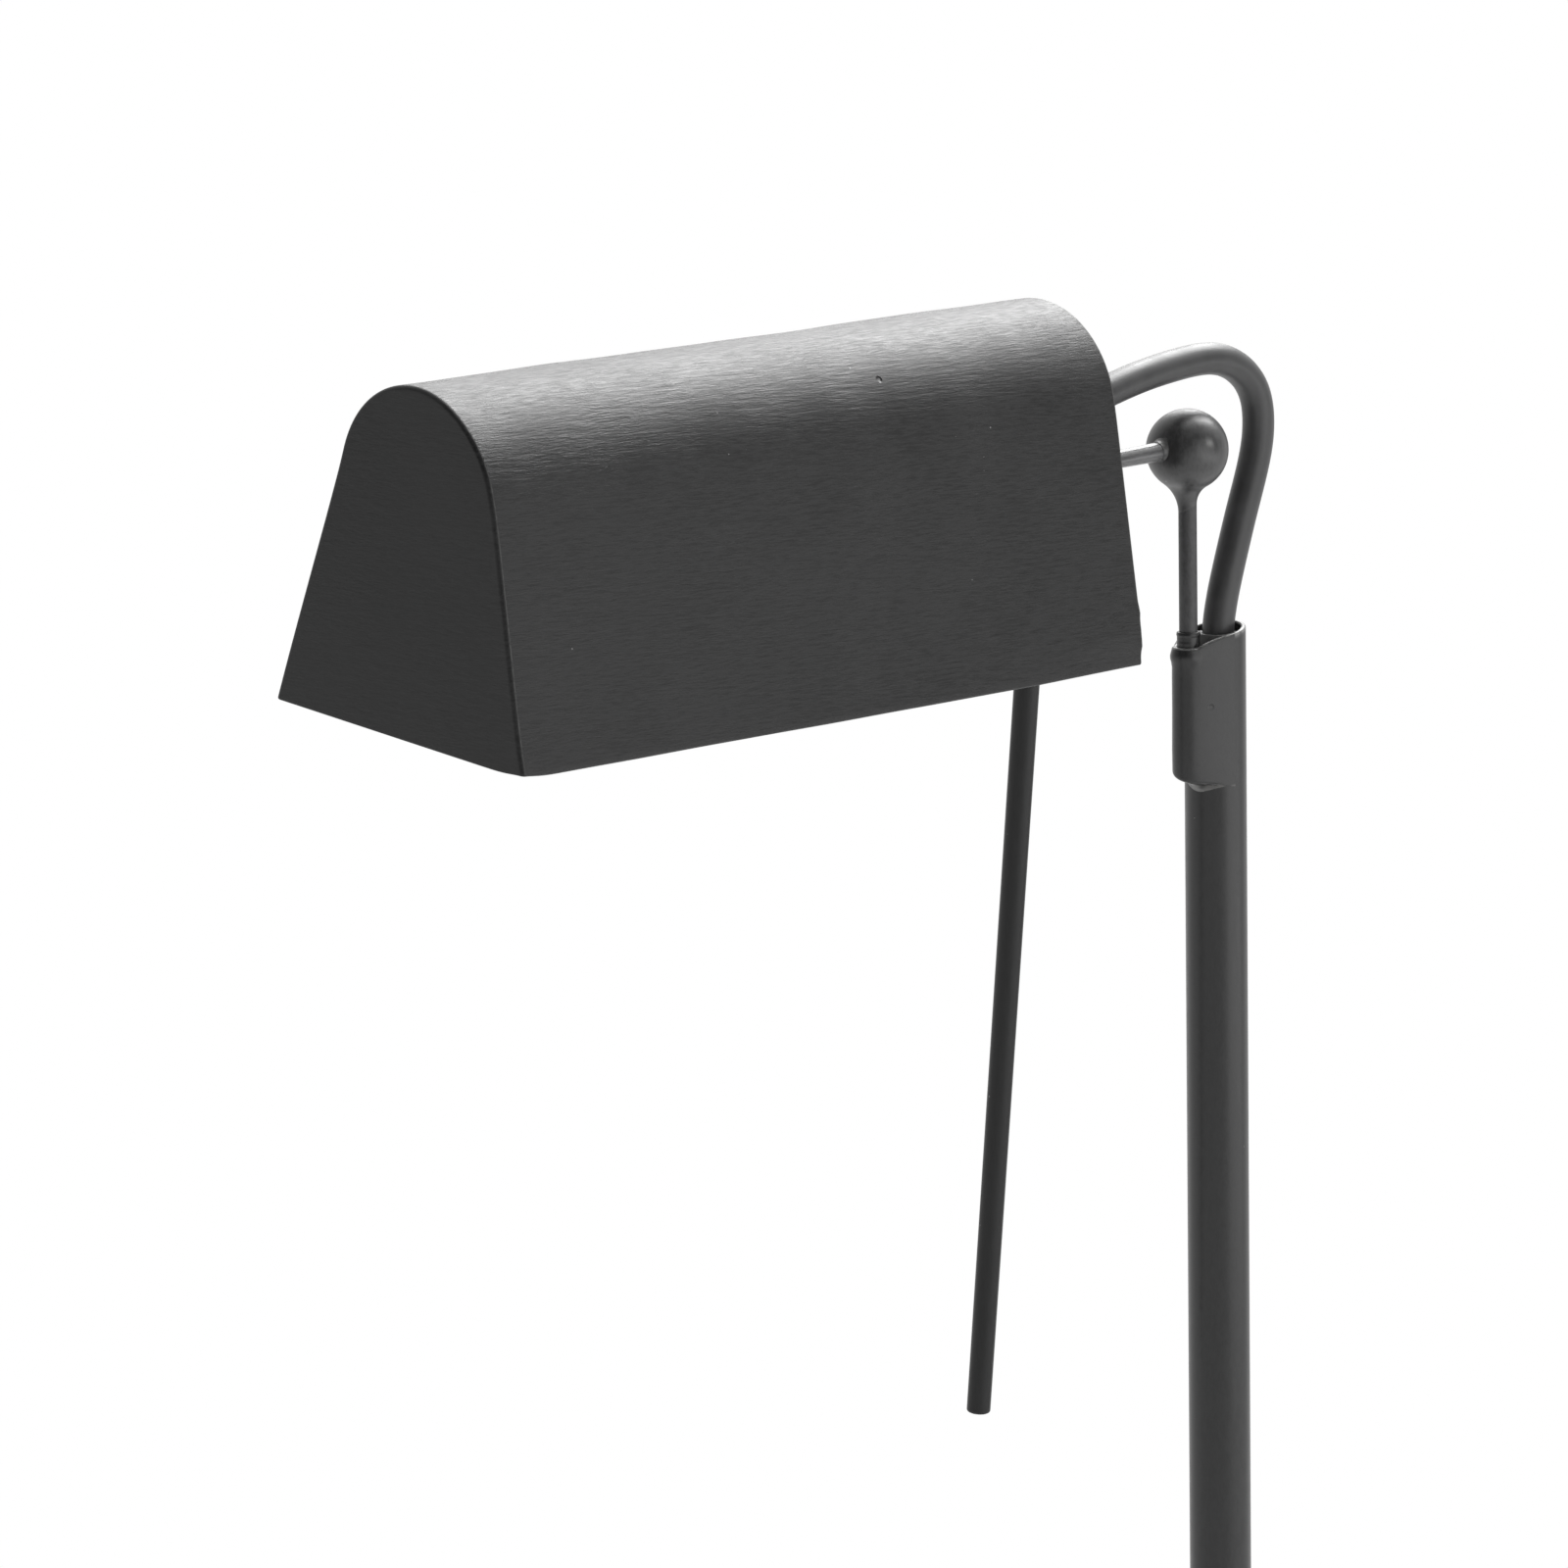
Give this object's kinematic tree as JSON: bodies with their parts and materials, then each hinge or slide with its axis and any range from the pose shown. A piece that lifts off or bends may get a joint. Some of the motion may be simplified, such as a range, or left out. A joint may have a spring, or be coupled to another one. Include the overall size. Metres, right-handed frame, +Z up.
{
  "type": "table lamp",
  "caption": "Black table lamp with an arched trough shade that tilts on a rod and swivels on a ball-ended stem beside a slim pole, with a hanging handle rod and a round base.",
  "frame": {"origin": "on the table under the felt, on the pole's axis", "axes": "+Z up along the pole; -X from the pole towards the shade along the tilt rod; +Y completes the right-handed set"},
  "size_m": [0.2809, 0.14, 0.3985],
  "materials": {
    "black_paint": "satin black paint, finely brushed",
    "zinc_steel": "zinc plated",
    "brass": "turned brass",
    "nickel": "nickel plated",
    "felt": "pressed felt",
    "black_rubber": "matte rubber",
    "black_pvc": "satin sheath",
    "bakelite": "moulded thermoset",
    "white_nylon": "moulded nylon",
    "red_fibre": "vulcanised fibre",
    "opal_glass": "opal glass",
    "brown_pvc": "core insulation",
    "blue_pvc": "core insulation",
    "green_pvc": "core insulation, green and yellow"
  },
  "bodies": {
    "stand": {"base_disc": "black_paint", "base_cover": "zinc_steel", "base_cover_screws": "zinc_steel", "base_felt": "felt", "pole": "black_paint", "pole_collar": "black_paint", "pole_washer": "zinc_steel", "pole_nut": "zinc_steel", "pole_sleeve": "black_rubber", "stem_socket": "black_paint", "swivel_bush": "black_paint", "outlet_gland": "black_rubber", "terminal_block": "white_nylon", "terminal_screws": "zinc_steel", "base_cores": "brown_pvc", "switch_cores": "blue_pvc", "switch_body": "bakelite", "switch_ring_nut": "black_paint", "lead_in_pole": "black_pvc", "lead_lower": "black_pvc"},
    "button": {"switch_button": "bakelite"},
    "knuckle": {"swivel_stem": "black_paint", "knuckle_ball": "black_paint", "tilt_rod": "black_paint", "stop_collar": "black_paint", "outer_friction_washer": "red_fibre", "inner_friction_washer": "red_fibre", "spring_washer": "zinc_steel", "lock_nut": "zinc_steel"},
    "shade": {"shade_shell": "black_paint", "front_cap": "black_paint", "rear_cap": "black_paint", "pivot_bush": "brass", "handle_rod": "black_paint", "handle_screws": "zinc_steel", "cable_grommet": "black_rubber", "lead_upper": "black_pvc", "lampholder_bracket": "zinc_steel", "lampholder_nipple": "zinc_steel", "nipple_nut": "zinc_steel", "lampholder_cap": "bakelite", "lampholder_body": "bakelite", "lamp_cap": "nickel", "lamp_glass": "opal_glass", "live_core": "brown_pvc", "neutral_core": "blue_pvc", "earth_core": "green_pvc", "earth_screw": "brass"}
  },
  "joints": [
    {"name": "swivel", "type": "hinge", "parent": "stand", "child": "knuckle", "pos_m": [-0.0074, 0, 0.31], "axis": [0, 0, 1], "range_deg": [-90, 90], "deforming": ["lead_lower"]},
    {"name": "tilt", "type": "hinge", "parent": "knuckle", "child": "shade", "pos_m": [-0.0074, 0, 0.365], "axis": [1, 0, 0], "range_deg": [-66, 54], "deforming": ["lead_upper"]},
    {"name": "switch_press", "type": "slide", "parent": "stand", "child": "button", "axis": [0, 0, -1], "range_m": [0, 0.002], "stiffness_N_per_m": 600, "springref_m": -0.002}
  ]
}
